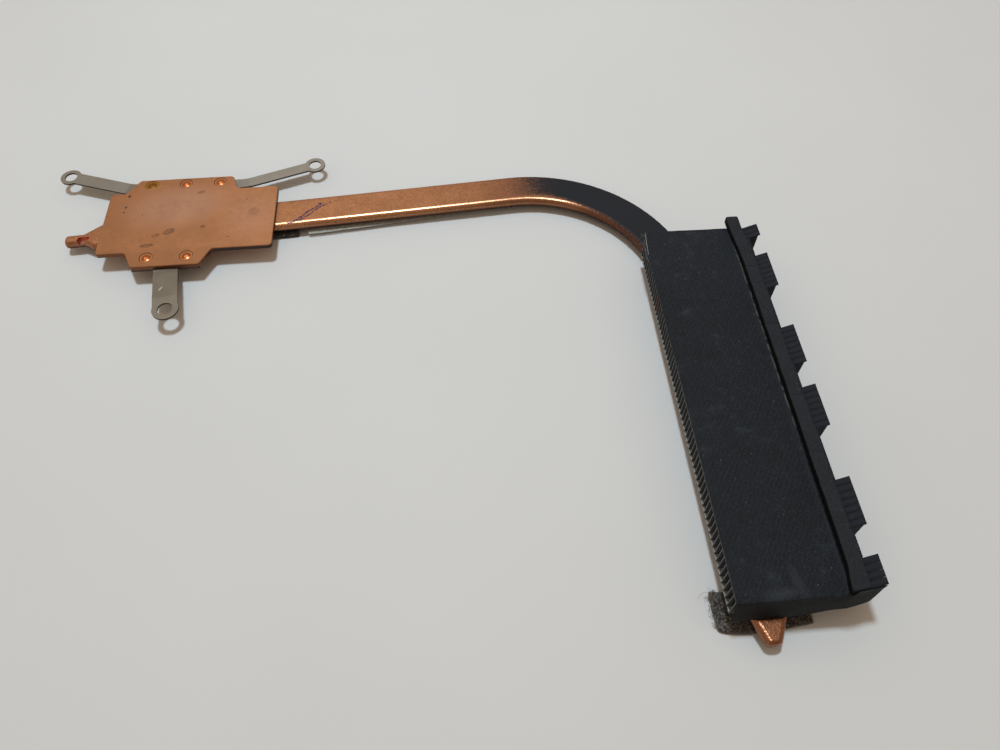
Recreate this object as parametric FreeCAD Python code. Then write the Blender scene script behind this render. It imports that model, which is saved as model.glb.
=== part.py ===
import FreeCAD, Part
import math
import os

# A laptop heatsink lying with its contact face up. Sizes are in millimetres and angles in degrees.
# The layout starts at the middle of the cold plate: X runs along the plate towards the fins, Y runs across
# it towards the pair of spring arms, and Z rises from the surface that the part lies on.

# Heat pipe: a round copper tube pressed flat, bent once and sealed at both ends
pipe_width = 8.3
pipe_height = 2.3
pipe_angle = 4.1
pipe_reach = 70.4
bend_radius = 30.0
neck_start = 17.0
neck_middle = 20.4
neck_end = 22.6
neck_middle_width = 5.75
stub_width = 2.8
stub_height = 2.2
stub_end = 25.9
stub_shift = 1.0
stub_nose = 0.8
slot_start = 21.35
slot_length = 2.25
slot_radius = 0.75
slot_offset = 0.6
slot_height = 0.6
tip_start = 1.61
tip_reach = 4.49
tip_width = 3.0
tip_height = 2.1
tip_nose = 0.75
tip_lean = 0.35
nose_rings = 4
nose_share = 0.55

# Cold plate: a copper sheet with a tab for each spring
plate_length = 36.8
plate_width = 18.25
plate_thickness = 0.95
plate_corner = 0.9
plate_chamfer = 0.12
upper_tab_centre = -2.3
upper_tab_tip = 20.6
upper_tab_left_flare = 2.6
upper_tab_right_flare = 1.3
upper_tab_height = 4.1
lower_tab_centre = -3.3
lower_tab_tip = 14.1
lower_tab_left_flare = 1.9
lower_tab_right_flare = 2.1
lower_tab_height = 4.2

# Clinches: cups punched in the plate that press its metal through the springs
clinch_ring_radius = 1.4
clinch_ring_depth = 0.1
clinch_cup_radius = 1.0
clinch_floor_radius = 0.6
clinch_depth = 0.5
clinch_dome = 0.15
clinch_neck_radius = 1.05
clinch_clearance = 0.05
clinch_head_radius = 1.4
clinch_head_height = 0.3
upper_clinch_count = 3
upper_clinch_spacing = 7.58
upper_clinch_inset = 1.8
lower_clinch_count = 2
lower_clinch_spacing = 8.3
lower_clinch_inset = 2.6

# Springs: blanked steel sheet with a screw eye at the end of each arm
spring_thickness = 0.4
upper_bar_length = 23.0
upper_bar_width = 3.2
upper_left_arm_width = 3.2
upper_right_arm_width = 2.75
upper_arm_inset = 0.6
upper_eye_centre = -1.9
upper_eye_half_span = 27.77
upper_left_eye_reach = 17.4
upper_right_eye_reach = 17.05
upper_eye_radius = 2.3
upper_hole_radius = 1.35
upper_eye_drop = 0.4
upper_ramp_length = 2.4
lower_bar_length = 14.0
lower_bar_width = 4.4
lower_arm_width = 5.0
lower_arm_offset = 0.45
lower_eye_centre = -1.35
lower_eye_reach = 24.8
lower_eye_radius = 2.65
lower_hole_radius = 1.53
lower_eye_rise = 0.7
eye_flat_margin = 0.6
arm_ramp_clearance = 0.5

# Fins: folded aluminium sheet, soldered on the pipe as one zipped stack
fin_sheet = 0.2
fin_pitch = 1.2178
fin_seam = 0.06
end_flange = 0.6
fin_height = 5.05
fin_depth = 17.69
fin_flare_angle = 13.7
fin_skew_angle = 7.0
short_flare = 3.3
long_flare = 5.5
web_setback = 0.4
pipe_inset = 6.5
stack_overlap = 8.18
fin_blocks = [4, 4, 7, 8, 7, 4, 7, 8, 7, 4, 3]

# Cover film, exhaust foam and felt pads
film_thickness = 0.2
film_inset = 0.05
film_far_overhang = 0.3
film_flap_slope = 1.14
film_flap_clearance = 0.05
film_wing_rise = 0.4
foam_gap = 0.34
foam_width = 2.43
foam_height = 1.55
foam_overhang = 1.44
foam_near_overhang = 0.1
felt_thickness = 1.0
felt_length = 15.4
felt_width = 5.4
felt_side_overhang = 1.6
felt_end_overhang = 1.15
pad_start = 9.0
pad_end = 22.6
pad_overhang = 0.5
tape_thickness = 0.12
tape_start = 24.9
tape_overhang = 0.8

# Levels of the stacked pieces
pipe_bottom = felt_thickness
pipe_top = pipe_bottom + pipe_height
pipe_middle = pipe_bottom + pipe_height / 2
plate_bottom = pipe_top
plate_top = plate_bottom + plate_thickness
spring_bottom = plate_bottom - spring_thickness
fin_bottom = pipe_top
fin_top = fin_bottom + fin_height

# Route of the pipe: a slanted run under the plate, one bend and a run along -Y under the fins
slant = math.radians(pipe_angle)
along = FreeCAD.Vector(math.cos(slant), math.sin(slant), 0)
across = FreeCAD.Vector(-math.sin(slant), math.cos(slant), 0)
bend_start = along * pipe_reach
bend_centre = bend_start - across * bend_radius
bend_turn = 90 + pipe_angle
run_x = bend_centre.x + bend_radius
run_start_y = bend_centre.y

# Place of the fin stack on the pipe's second run
fin_count = sum(fin_blocks)
stack_left = run_x - pipe_inset
stack_bend = stack_left + fin_depth
stack_far = run_start_y + stack_overlap
stack_near = stack_far - fin_count * fin_pitch

# Rows of clinches and the edges of the plate's tabs
upper_edge = plate_width / 2 + upper_tab_height
lower_edge = -plate_width / 2 - lower_tab_height
upper_clinch_y = upper_edge - upper_clinch_inset
lower_clinch_y = lower_edge + lower_clinch_inset


def vector(x, y, z=0.0):
    return FreeCAD.Vector(x, y, z)


def face_of(points):
    return Part.Face(Part.makePolygon(list(points) + [points[0]]))


def prism(outline, bottom, height):
    """A plan outline of (x, y) points, raised from one level by a height."""
    face = face_of([vector(x, y, bottom) for x, y in outline])
    return face.extrude(vector(0, 0, height))


def box(low, high):
    size = high - low
    return Part.makeBox(size.x, size.y, size.z, low)


def upright_edges(shape):
    return [e for e in shape.Edges if abs(e.tangentAt(e.FirstParameter).z) > 0.99]


def row(count, spacing, centre):
    first = centre - spacing * (count - 1) / 2
    return [first + spacing * i for i in range(count)]


def stadium(width, height, middle, side):
    """A wire with flat top and bottom and half-round sides, standing on the horizontal direction side."""
    radius = height / 2
    half_flat = width / 2 - radius
    up = vector(0, 0, radius)
    left = middle - side * half_flat
    right = middle + side * half_flat
    edges = [
        Part.LineSegment(left + up, right + up).toShape(),
        Part.Arc(right + up, right + side * radius, right - up).toShape(),
        Part.LineSegment(right - up, left - up).toShape(),
        Part.Arc(left - up, left - side * radius, left + up).toShape(),
    ]
    return Part.Wire(edges)


def plate_tab(centre, tip, left_flare, right_flare, shoulder, edge):
    """The three-sided outline of a tab: foot, tip, tip and foot, from left to right."""
    left = centre - tip / 2
    right = centre + tip / 2
    return [(left - left_flare, shoulder), (left, edge), (right, edge), (right + right_flare, shoulder)]


upper_clinches = [(x, upper_clinch_y) for x in row(upper_clinch_count, upper_clinch_spacing, upper_tab_centre)]
lower_clinches = [(x, lower_clinch_y) for x in row(lower_clinch_count, lower_clinch_spacing, lower_tab_centre)]


def clinch_cup():
    """The stepped cup that the punch leaves in the plate, with drafted walls and a domed floor."""
    profile = [
        (0, 0),
        (clinch_ring_radius, 0),
        (clinch_ring_radius - clinch_ring_depth, -clinch_ring_depth),
        (clinch_cup_radius, -clinch_ring_depth),
        (clinch_floor_radius, -clinch_depth),
        (0, clinch_dome - clinch_depth),
    ]
    face = face_of([vector(r, 0, z) for r, z in profile])
    return face.revolve(vector(0, 0), vector(0, 0, 1), 360)


def make_cold_plate():
    half_length = plate_length / 2
    half_width = plate_width / 2
    upper = plate_tab(upper_tab_centre, upper_tab_tip, upper_tab_left_flare, upper_tab_right_flare,
                      half_width, upper_edge)
    lower = plate_tab(lower_tab_centre, lower_tab_tip, lower_tab_left_flare, lower_tab_right_flare,
                      -half_width, lower_edge)
    outline = [(-half_length, half_width)] + upper + [(half_length, half_width), (half_length, -half_width)]
    outline += lower[::-1] + [(-half_length, -half_width)]
    plate = prism(outline, plate_bottom, plate_thickness)
    plate = plate.makeFillet(plate_corner, upright_edges(plate))
    rim = [e for e in plate.Edges if e.BoundBox.ZMin > plate_top - plate_chamfer / 2]
    plate = plate.makeChamfer(plate_chamfer, rim)
    for x, y in upper_clinches + lower_clinches:
        cup = clinch_cup()
        cup.translate(vector(x, y, plate_top))
        neck = Part.makeCylinder(clinch_neck_radius, spring_thickness, vector(x, y, spring_bottom))
        head_bottom = spring_bottom - clinch_head_height
        head = Part.makeCylinder(clinch_head_radius, clinch_head_height, vector(x, y, head_bottom))
        plate = plate.cut(cup).fuse([neck, head])
    return plate.removeSplitter()


def stepped_sheet(ramp_start, ramp_end, reach, rise, half_width):
    """A sheet along +X, level with the spring up to ramp_start, then ramped by rise and level again."""
    lower = [(-reach, 0), (ramp_start, 0), (ramp_end, rise), (reach, rise)]
    upper = [(x, z + spring_thickness) for x, z in reversed(lower)]
    side = face_of([vector(x, -half_width, spring_bottom + z) for x, z in lower + upper])
    return side.extrude(vector(0, 2 * half_width, 0))


def spring_arm(root, eye, width, eye_radius, hole_radius, rise, ramp_start, ramp_end):
    """An arm from a root point to its screw eye, stepped up or down on the way."""
    route = eye - root
    reach = route.Length
    strip = box(vector(0, -width / 2, 0), vector(reach, width / 2, plate_top))
    ring = Part.makeCylinder(eye_radius, plate_top, vector(reach, 0, 0))
    hole = Part.makeCylinder(hole_radius, plate_top, vector(reach, 0, 0))
    sheet = stepped_sheet(ramp_start, ramp_end, 2 * reach, rise, 2 * eye_radius)
    arm = strip.fuse(ring).cut(hole).common(sheet)
    arm.rotate(vector(0, 0), vector(0, 0, 1), math.degrees(math.atan2(route.y, route.x)))
    arm.translate(root)
    return arm


def spring(bar, arms, clinches):
    """A bar under the plate joined to its arms, with a hole for each clinch."""
    sheet = bar.fuse(arms)
    for x, y in clinches:
        radius = clinch_neck_radius + clinch_clearance
        sheet = sheet.cut(Part.makeCylinder(radius, spring_thickness, vector(x, y, spring_bottom)))
    return sheet.removeSplitter()


def make_upper_spring():
    bar_low = vector(upper_tab_centre - upper_bar_length / 2, upper_clinch_y - upper_bar_width / 2, spring_bottom)
    bar = box(bar_low, bar_low + vector(upper_bar_length, upper_bar_width, spring_thickness))
    ends = [(-1, upper_left_eye_reach, upper_left_arm_width), (1, upper_right_eye_reach, upper_right_arm_width)]
    arms = []
    for side, eye_reach, width in ends:
        root = vector(upper_tab_centre + side * (upper_bar_length / 2 - upper_arm_inset), upper_clinch_y)
        eye = vector(upper_eye_centre + side * upper_eye_half_span, eye_reach)
        ramp_end = arm_ramp_clearance + upper_ramp_length
        arms.append(spring_arm(root, eye, width, upper_eye_radius, upper_hole_radius,
                               -upper_eye_drop, arm_ramp_clearance, ramp_end))
    return spring(bar, arms, upper_clinches)


def make_lower_spring():
    bar_low = vector(lower_tab_centre - lower_bar_length / 2, lower_edge, spring_bottom)
    bar = box(bar_low, bar_low + vector(lower_bar_length, lower_bar_width, spring_thickness))
    root = vector(lower_tab_centre - lower_arm_offset, lower_clinch_y)
    eye = vector(lower_eye_centre, -lower_eye_reach)
    ramp_start = lower_clinch_inset + arm_ramp_clearance
    ramp_end = root.distanceToPoint(eye) - lower_eye_radius - eye_flat_margin
    arm = spring_arm(root, eye, lower_arm_width, lower_eye_radius, lower_hole_radius,
                     lower_eye_rise, ramp_start, ramp_end)
    return spring(bar, [arm], lower_clinches)


def make_heat_pipe():
    level = vector(0, 0, pipe_middle)
    section = Part.Face(stadium(pipe_width, pipe_height, bend_start + level, across))
    slanted_run = section.extrude(along * -(pipe_reach + neck_start))
    bend = section.revolve(bend_centre, vector(0, 0, 1), -bend_turn)
    end_section = stadium(pipe_width, pipe_height, vector(run_x, run_start_y) + level, vector(1, 0))
    taper_y = stack_near + tip_start
    second_run = Part.Face(end_section).extrude(vector(0, taper_y - run_start_y, 0))
    pipe = slanted_run.fuse([bend, second_run, pipe_tip(taper_y, level), pipe_stub(level)])
    return pipe.removeSplitter().cut(stub_slot(level)).Solids[0]


def nose_sizes(width, height, length):
    """Rings of a blunt round nose as (distance, width, height), the last one small and flat."""
    steps = [math.acos(nose_share / nose_rings) * i / nose_rings for i in range(1, nose_rings + 1)]
    return [(length * math.sin(a), width * math.cos(a), height * math.cos(a)) for a in steps]


def pipe_tip(taper_y, level):
    """The swaged end that comes out beyond the fins, leans a little and closes in a blunt nose."""
    shoulder = tip_start + tip_reach
    sizes = [(0, pipe_width, pipe_height), (shoulder, tip_width, tip_height)]
    sizes += [(shoulder + d, w, h) for d, w, h in nose_sizes(tip_width, tip_height, tip_nose)]
    lean = tip_lean / (shoulder + tip_nose)
    wires = []
    for distance, width, height in sizes:
        middle = vector(run_x - lean * distance, taper_y - distance) + level
        wires.append(stadium(width, height, middle, vector(1, 0)))
    return Part.makeLoft(wires, True, True)


def pipe_stub(level):
    """The pinched end beyond the plate, shifted towards the lower spring."""
    sizes = [
        (neck_start, 0.0, pipe_width, pipe_height),
        (neck_middle, stub_shift, neck_middle_width, pipe_height),
        (neck_end, stub_shift, stub_width, stub_height),
        (stub_end, stub_shift, stub_width, stub_height),
    ]
    nose = nose_sizes(stub_width, stub_height, stub_nose)
    sizes += [(stub_end + d, stub_shift, w, h) for d, w, h in nose]
    wires = [stadium(w, h, level - along * s - across * shift, across) for s, shift, w, h in sizes]
    return Part.makeLoft(wires, True, True)


def stub_slot(level):
    """The hollow left open along the near shoulder of the stub where its end is folded shut."""
    profile = [
        (-slot_radius, 0),
        (0, slot_radius),
        (slot_length, slot_radius),
        (slot_length + slot_radius, 0),
    ]
    face = face_of([vector(-slot_start - x, 0, z) for x, z in profile])
    slot = face.revolve(vector(0, 0), vector(1, 0), 360)
    slot.rotate(vector(0, 0), vector(0, 0, 1), pipe_angle)
    slot.translate(level + vector(0, 0, slot_height) - across * (stub_shift + slot_offset))
    return slot


def fin_at_origin(flare_length, flange):
    """One folded fin: a web with a flange along its top and bottom.

    Past the fold the fin is skewed towards +Y and its top flange climbs with the flare angle.
    """
    depth = fin_depth + flare_length
    skew = flare_length * math.tan(math.radians(fin_skew_angle))
    climb = flare_length * math.tan(math.radians(fin_flare_angle))
    spare = fin_height

    def plan(near, far, height):
        outline = [(0, near), (fin_depth, near), (depth, near + skew)]
        outline += [(depth, far + skew), (fin_depth, far), (0, far)]
        return prism(outline, 0, height)

    def side(bottom, top):
        outline = [(0, bottom), (depth, bottom), (depth, top + climb), (fin_depth, top), (0, top)]
        face = face_of([vector(x, -spare, z) for x, z in outline])
        return face.extrude(vector(0, depth + spare, 0))

    block = plan(0, flange, fin_height + climb).common(side(0, fin_height))
    channel = side(fin_sheet, fin_height - fin_sheet)
    hollow = plan(fin_sheet, fin_pitch + spare, fin_height + climb).common(channel)
    notch_low = vector(depth - web_setback, -spare, 0)
    notch = box(notch_low, vector(depth, depth + spare, fin_height + climb)).common(channel)
    return block.cut(hollow.fuse(notch)).Solids[0]


def make_fin_blocks():
    """The fins as blocks of equal ones, long and short by turns from the near end.

    Each flange stops a seam short of the next web; the last fin of the stack has a narrow one.
    """
    flange = fin_pitch - fin_seam
    patterns = {"long": fin_at_origin(long_flare, flange), "short": fin_at_origin(short_flare, flange)}
    end_fin = fin_at_origin(long_flare, end_flange)
    blocks = {}
    index = 0
    for number, count in enumerate(fin_blocks, start=1):
        kind = "long" if number % 2 else "short"
        fins = []
        for _ in range(count):
            fin = end_fin if index == fin_count - 1 else patterns[kind].copy()
            fin.translate(vector(stack_left, stack_near + index * fin_pitch, fin_bottom))
            fins.append(fin)
            index += 1
        blocks["fins_%02d_%s" % (number, kind)] = Part.makeCompound(fins)
    return blocks


def make_cover_film():
    """A film over the flat of the stack, with a flap that hangs over the whole near end."""
    flap_bottom = pipe_top + film_flap_clearance
    film_top = fin_top + film_thickness
    film_far = stack_far + film_far_overhang
    profile = [
        (film_far, fin_top),
        (film_far, film_top),
        (stack_near - film_thickness, film_top),
        (stack_near - film_thickness - film_flap_slope, flap_bottom),
        (stack_near - film_flap_slope, flap_bottom),
        (stack_near, fin_top),
    ]
    left = stack_left + film_inset
    face = face_of([vector(left, y, z) for y, z in profile])
    sheet = face.extrude(vector(stack_bend - left, 0, 0))
    skew = long_flare * math.tan(math.radians(fin_skew_angle))
    wing_slope = film_flap_slope * (1 - film_wing_rise / (fin_top - flap_bottom))
    corners = [
        vector(stack_bend, stack_near, fin_top),
        vector(stack_bend, stack_near - film_flap_slope, flap_bottom),
        vector(stack_bend + long_flare, stack_near - wing_slope + skew, flap_bottom + film_wing_rise),
        vector(stack_bend + long_flare, stack_near + skew, fin_top),
    ]
    wing = face_of(corners).extrude(vector(0, -film_thickness, 0))
    return sheet.fuse(wing).removeSplitter()


def make_exhaust_foam():
    """A soft strip stuck along the flared side, with its foot on the slope of the fins."""
    left = stack_bend + foam_gap
    right = left + foam_width
    slope = math.tan(math.radians(fin_flare_angle))
    foam_top = fin_top + foam_height
    near = stack_near - foam_near_overhang
    profile = [
        (left, fin_top + foam_gap * slope),
        (right, fin_top + (foam_gap + foam_width) * slope),
        (right, foam_top),
        (left, foam_top),
    ]
    face = face_of([vector(x, near, z) for x, z in profile])
    return face.extrude(vector(0, stack_far + foam_overhang - near, 0))


def make_felt_pad():
    low = vector(stack_left - felt_side_overhang, stack_near - felt_end_overhang, 0)
    return box(low, low + vector(felt_length, felt_width, felt_thickness))


def strip_under_pipe(start, end, overhang, bottom):
    """A strip stuck to the pipe's slanted run, from start to end, with an overhang on the near side."""
    far_side = pipe_width / 2 - pipe_height / 2
    near_side = pipe_width / 2 + overhang
    corners = [(start, -near_side), (end, -near_side), (end, far_side), (start, far_side)]
    outline = [along * s + across * t for s, t in corners]
    return prism([(p.x, p.y) for p in outline], bottom, pipe_bottom - bottom)


nodes = {
    "cold_plate": make_cold_plate(),
    "upper_spring": make_upper_spring(),
    "lower_spring": make_lower_spring(),
    "heat_pipe": make_heat_pipe(),
    "cover_film": make_cover_film(),
    "exhaust_foam": make_exhaust_foam(),
    "felt_pad": make_felt_pad(),
    "pipe_pad": strip_under_pipe(pad_start, pad_end, pad_overhang, 0.0),
    "pipe_tape": strip_under_pipe(tape_start, pipe_reach, tape_overhang, pipe_bottom - tape_thickness),
}
nodes.update(make_fin_blocks())

# The origin of the finished part is the bottom centre of its box
whole = Part.makeCompound(list(nodes.values())).optimalBoundingBox(False)
to_origin = vector(-whole.Center.x, -whole.Center.y, -whole.ZMin)

os.makedirs("parts", exist_ok=True)
for name, shape in nodes.items():
    shape.translate(to_origin)
    shape.exportStep("parts/" + name + ".step")
print("box", round(whole.XLength, 3), round(whole.YLength, 3), round(whole.ZLength, 3))
print("plate centre at", round(to_origin.x, 4), round(to_origin.y, 4))
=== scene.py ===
"""Looks of a laptop heatsink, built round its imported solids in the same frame, in metres."""
import math
import random

import bmesh
import bpy
from bpy.props import FloatProperty, FloatVectorProperty, IntProperty, PointerProperty
from mathutils import Matrix, Vector, noise


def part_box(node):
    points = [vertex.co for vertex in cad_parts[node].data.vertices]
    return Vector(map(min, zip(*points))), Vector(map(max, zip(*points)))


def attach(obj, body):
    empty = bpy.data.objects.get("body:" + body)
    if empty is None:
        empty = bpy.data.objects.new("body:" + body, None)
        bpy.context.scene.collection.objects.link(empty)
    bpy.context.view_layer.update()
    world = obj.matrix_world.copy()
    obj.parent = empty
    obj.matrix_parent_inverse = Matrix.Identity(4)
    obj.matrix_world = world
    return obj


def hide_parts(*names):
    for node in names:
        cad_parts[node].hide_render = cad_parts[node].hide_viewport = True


bl_info = {
    "name": "Laptop heatsink looks",
    "version": (1, 0, 0),
    "blender": (4, 5, 0),
    "location": "3D View > Sidebar > Heatsink",
    "description": "Finishes, soft pieces and stage for a laptop heatsink",
    "category": "Object",
}

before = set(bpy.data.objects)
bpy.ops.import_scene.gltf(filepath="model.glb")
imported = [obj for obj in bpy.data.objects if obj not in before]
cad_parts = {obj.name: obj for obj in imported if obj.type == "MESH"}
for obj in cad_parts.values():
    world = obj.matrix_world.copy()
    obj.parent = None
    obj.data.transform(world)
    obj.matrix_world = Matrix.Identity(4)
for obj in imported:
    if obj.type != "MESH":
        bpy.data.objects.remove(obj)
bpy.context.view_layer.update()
MM = 0.001


def box_mm(node):
    """The lowest and highest corner of a CAD node, in millimetres."""
    return [tuple(v / MM for v in corner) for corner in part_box(node)]


# Places that the finishes and the soft pieces share, in millimetres
PLATE = box_mm("cold_plate")
FINS = box_mm("fins_01_long")
FAR_FINS = box_mm("fins_11_long")
FILM = box_mm("cover_film")
FOAM = box_mm("exhaust_foam")
FELT = box_mm("felt_pad")
UPPER_TAB_REACH = 13.225
PLATE_X = (PLATE[0][0] + PLATE[1][0]) / 2
PLATE_Y = PLATE[1][1] - UPPER_TAB_REACH
PLATE_CENTRE = Vector((PLATE_X, PLATE_Y, 0.0))
CLINCHES = [(-9.88, 11.425), (-2.3, 11.425), (5.28, 11.425), (-7.45, -10.725), (0.85, -10.725)]
CUP_RADIUS = 1.24
CUP_RIM = 1.42
PIPE_ANGLE = math.radians(4.1)
PIPE_ALONG = Vector((math.cos(PIPE_ANGLE), math.sin(PIPE_ANGLE), 0.0))
PIPE_ACROSS = Vector((-PIPE_ALONG.y, PIPE_ALONG.x, 0.0))
PIPE_REACH = 70.4
PIPE_HALF_WIDTH = 4.15
PIPE_BOTTOM = 1.0
BEND_RADIUS = 30.0
PIPE_PAD = [(9.0, -4.65), (22.6, -4.65), (22.6, 3.0), (9.0, 3.0)]
TAPE_START = 24.9
STUB_HOLLOW = PLATE_CENTRE + Vector((0.0, 0.0, 2.75)) - PIPE_ALONG * 22.48 - PIPE_ACROSS * 1.6
FIN_DEPTH = 17.69
FIN_PITCH = 1.2178
FIN_TOP = 8.35
FLARE_SLOPE = math.tan(math.radians(13.7))
FIN_SKEW = math.tan(math.radians(7.0))
STACK_LEFT = FINS[0][0]
STACK_NEAR = FINS[0][1]
STACK_FAR = FAR_FINS[1][1]
FOLD_X = STACK_LEFT + FIN_DEPTH

# The stage: the camera in millimetres from the plate's middle, the lamp in metres
CAMERA_FROM_PLATE = (57.85, -129.15)
LAMP_PLACE = Vector((-0.07, 0.35, 1.4))
LAMP_AIM = Vector((0.005, 0.085, 0.0))
TABLE_HALF_WIDTH = 3.0


def colour_prop(name, description, default):
    return FloatVectorProperty(name=name, description=description, default=default, subtype="COLOR",
                               size=3, min=0.0, max=1.0)


def length_prop(name, description, default):
    return FloatProperty(name=name, description=description, default=default, unit="LENGTH", min=0.0)


def angle_prop(name, description, degrees):
    return FloatProperty(name=name, description=description, default=math.radians(degrees), subtype="ANGLE")


class HeatsinkColours(bpy.types.PropertyGroup):
    """Colours of the heatsink's finishes."""
    plate: colour_prop("Plate", "Satin copper of the cold plate", (0.377, 0.169, 0.0795))
    plate_middle: colour_prop("Plate middle", "Pinkish copper in the plate's middle", (0.432, 0.226, 0.139))
    # Painted shade on the plate's cut edges: a brown reflection of the shaded table, and a dark bluish
    # reflection on the plate's right
    plate_rim_shade: colour_prop("Plate rim", "Brown cut edge of the plate", (0.20, 0.09, 0.05))
    plate_rim_dark_reflection: colour_prop("Dark plate rim", "Cut edge on the plate's right", (0.028, 0.028, 0.036))
    pipe: colour_prop("Pipe", "Satin copper on the flat of the heat pipe", (0.366, 0.161, 0.0765))
    # Painted highlight: a brighter copy of the pipe's copper for its rounded edges
    pipe_edge_highlight: colour_prop("Pipe edge", "Glossier copper on the pipe's rounded edges", (0.53, 0.26, 0.14))
    # Reddish brown copper for the overspray, the stub and the far bend, also painted shade on the pipe's
    # lower sides and its tip
    pipe_brown_and_shade: colour_prop("Pipe side", "Reddish brown copper of the pipe's sides", (0.20, 0.08, 0.045))
    under: colour_prop("Underside", "Clean copper under the plate", (0.95, 0.52, 0.30))
    # Real oxide in specks and pits, and also painted shade round the cups, low on the bend's sides and on
    # the springs' edges
    tarnish_and_shade: colour_prop("Tarnish", "Dark oxide on cut edges and in specks", (0.05, 0.03, 0.025))
    cup: colour_prop("Cups", "Bright worked copper in the clinches", (0.60, 0.245, 0.105))
    hollow: colour_prop("Hollow", "Red oxide inside the open stub", (0.60, 0.25, 0.17))
    flux: colour_prop("Flux", "Brown stain left by soldering", (0.32, 0.15, 0.03))
    pen: colour_prop("Pen", "Ink of the stray pen stroke", (0.022, 0.011, 0.075))
    spring: colour_prop("Springs", "Dull spring steel", (0.254, 0.222, 0.187))
    lower_tint: colour_prop("Lower spring", "Tint of the lower spring", (0.88, 0.85, 0.79))
    scratch: colour_prop("Scratch", "Bare steel in a scratch", (0.72, 0.70, 0.66))
    fin: colour_prop("Fins", "Dusty aluminium on the floors between the fins", (0.36, 0.37, 0.37))
    fin_edge: colour_prop("Fin edges", "Cut edges of the fins", (0.13, 0.14, 0.15))
    # Painted shade on the walls between the fins
    fin_wall_shade: colour_prop("Fin walls", "Sooted walls of the fins", (0.10, 0.11, 0.115))
    rust: colour_prop("Rust", "Red stain between the fins", (0.22, 0.05, 0.02))
    fin_lint: colour_prop("Fin lint", "Lint on the flared fins", (0.16, 0.15, 0.135))
    paint: colour_prop("Paint", "Black spray paint on bend and flared fins", (0.0066, 0.0082, 0.0130))
    film: colour_prop("Film", "Black cloth tape over the fins", (0.0038, 0.0055, 0.0096))
    film_dust: colour_prop("Film dust", "Bluish dust in the tape's weave", (0.06, 0.085, 0.11))
    film_rub: colour_prop("Rubbed film", "Rubbed smudges and crumbs on the tape", (0.20, 0.23, 0.27))
    # Pale cut edge of the tape and its threads, also a painted highlight along the lip by the foam
    film_edge_and_lip_highlight: colour_prop("Film edge", "Pale cut edge of the tape", (0.22, 0.21, 0.19))
    foam: colour_prop("Foam", "Charcoal foam strip", (0.0096, 0.0106, 0.0126))
    foam_lint: colour_prop("Foam lint", "Lint on the foam", (0.14, 0.14, 0.14))
    felt: colour_prop("Felt", "Grey felt of the end pad", (0.068, 0.060, 0.054))
    wool: colour_prop("Pale wool", "Paler wool in the felt", (0.26, 0.25, 0.23))
    fibre: colour_prop("Fibres", "Pale loose fibres of the felt", (0.32, 0.305, 0.28))
    dark_felt: colour_prop("Dark felt", "Dark felt under the pipe", (0.03, 0.024, 0.02))
    tape: colour_prop("Tape", "Greyish clear tape under the pipe", (0.54, 0.52, 0.48))
    floor: colour_prop("Floor", "Pale table top", (0.625, 0.625, 0.625))


class HeatsinkSizes(bpy.types.PropertyGroup):
    """Sizes of the soft pieces."""
    film_wave: length_prop("Film wave", "Height of the slack in the tape over the fins", 0.04 * MM)
    film_thickness: length_prop("Film thickness", "Thickness of the tape", 0.15 * MM)
    foam_shift: length_prop("Foam shift", "Sideways lean of the foam's far end", 0.6 * MM)
    foam_lean: length_prop("Foam lean", "Length over which the foam leans", 13.0 * MM)
    foam_round: length_prop("Foam round", "Rounding of the foam's edges", 0.22 * MM)
    felt_lump: length_prop("Felt lump", "Height of the lumps of the felt", 0.16 * MM)
    fibre_length: length_prop("Fibre length", "Usual length of a loose felt fibre", 1.1 * MM)
    fibre_width: length_prop("Fibre width", "Thickness of a loose felt fibre", 0.05 * MM)
    fibre_count: IntProperty(name="Fibres", description="Loose fibres on the end pad", default=700, min=0)


class HeatsinkStage(bpy.types.PropertyGroup):
    """Camera and light."""
    camera_height: length_prop("Camera height", "Height of the camera over the table", 125.0 * MM)
    camera_pitch: angle_prop("Pitch", "Downward tilt of the camera", 55.469)
    camera_heading: angle_prop("Heading", "Turn of the camera away from +Y", 4.193)
    camera_roll: angle_prop("Roll", "Roll of the camera", -0.333)
    lens: FloatProperty(name="Lens", description="Focal length in mm, 36 mm sensor", default=28.254)
    key_power: FloatProperty(name="Key", description="Power of the lamp in watts", default=1.42, min=0.0)
    key_size: length_prop("Key size", "Width of the overhead lamp", 160.0 * MM)
    key_spread: angle_prop("Key spread", "Opening of the lamp's beam", 60.0)
    key_colour: colour_prop("Key colour", "Cool daylight of the lamp", (0.75, 0.905, 1.0))
    fill: FloatProperty(name="Fill", description="Strength of the room light", default=0.565, min=0.0)
    fill_colour: colour_prop("Fill colour", "Warm light of the room", (1.0, 0.79, 0.60))


def rgba(colour):
    """A colour as a socket takes it; a shade passes as it is."""
    return colour if isinstance(colour, Shade) else (*colour, 1.0)


class Shade:
    """A value on its way through a material's nodes, open to plain arithmetic."""

    def __init__(self, finish, socket):
        self.finish = finish
        self.socket = socket

    def __add__(self, other):
        return self.finish.math("ADD", self, other)

    __radd__ = __add__

    def __sub__(self, other):
        return self.finish.math("SUBTRACT", self, other)

    def __rsub__(self, other):
        return self.finish.math("SUBTRACT", other, self)

    def __mul__(self, other):
        return self.finish.math("MULTIPLY", self, other)

    __rmul__ = __mul__

    def __truediv__(self, other):
        return self.finish.math("DIVIDE", self, other)

    def __rtruediv__(self, other):
        return self.finish.math("DIVIDE", other, self)


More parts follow.
